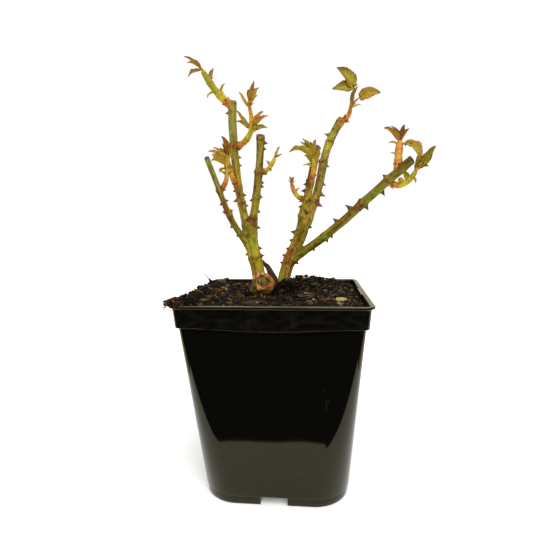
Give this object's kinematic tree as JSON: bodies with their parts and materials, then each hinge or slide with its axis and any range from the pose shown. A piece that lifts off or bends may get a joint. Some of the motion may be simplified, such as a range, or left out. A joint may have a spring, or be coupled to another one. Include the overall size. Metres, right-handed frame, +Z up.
{
  "type": "potted rose bush",
  "caption": "Hard-pruned garden rose bush with thorny green canes and young spring shoots, growing in a square black nursery pot filled with potting mix.",
  "frame": {"origin": "middle of the pot's flat underside, on the surface it stands on", "axes": "+Z up along the plant; -Y towards the side of the pot that faces the viewer, with the two canes leaning left (-X) and right (+X)"},
  "size_m": [0.2397, 0.1846, 0.4418],
  "materials": {
    "pot": "black moulded polypropylene with a soft gloss and light scuffs",
    "potting_mix": "dark brown peat, composted bark and wood fibre, matte",
    "stock_bark": "tan and brown layered callus",
    "cane_bark": "smooth olive-green bark with brown streaks and reddish nodes",
    "dead_wood": "dry dark brown wood",
    "young_growth": "soft yellow-green stems with bronze and green folded leaves"
  },
  "bodies": {
    "root": {"pot": "pot", "potting_mix": "potting_mix", "graft_stock": "stock_bark", "left_cane": "cane_bark", "left_short_bough": "cane_bark", "left_tall_bough": "cane_bark", "left_thin_bough": "cane_bark", "right_cane": "cane_bark", "low_right_bough": "cane_bark", "right_outer_bough": "cane_bark", "right_inner_bough": "cane_bark", "dead_stub": "dead_wood", "tall_bough_top_shoot": "young_growth", "tall_bough_middle_shoot": "young_growth", "tall_bough_lower_shoot": "young_growth", "thin_bough_shoot": "young_growth", "short_bough_shoot": "young_growth", "inner_bough_shoot": "young_growth", "inner_bough_bud": "young_growth", "outer_bough_shoot": "young_growth", "low_bough_upper_shoot": "young_growth", "low_bough_lower_shoot": "young_growth"}
  },
  "joints": []
}
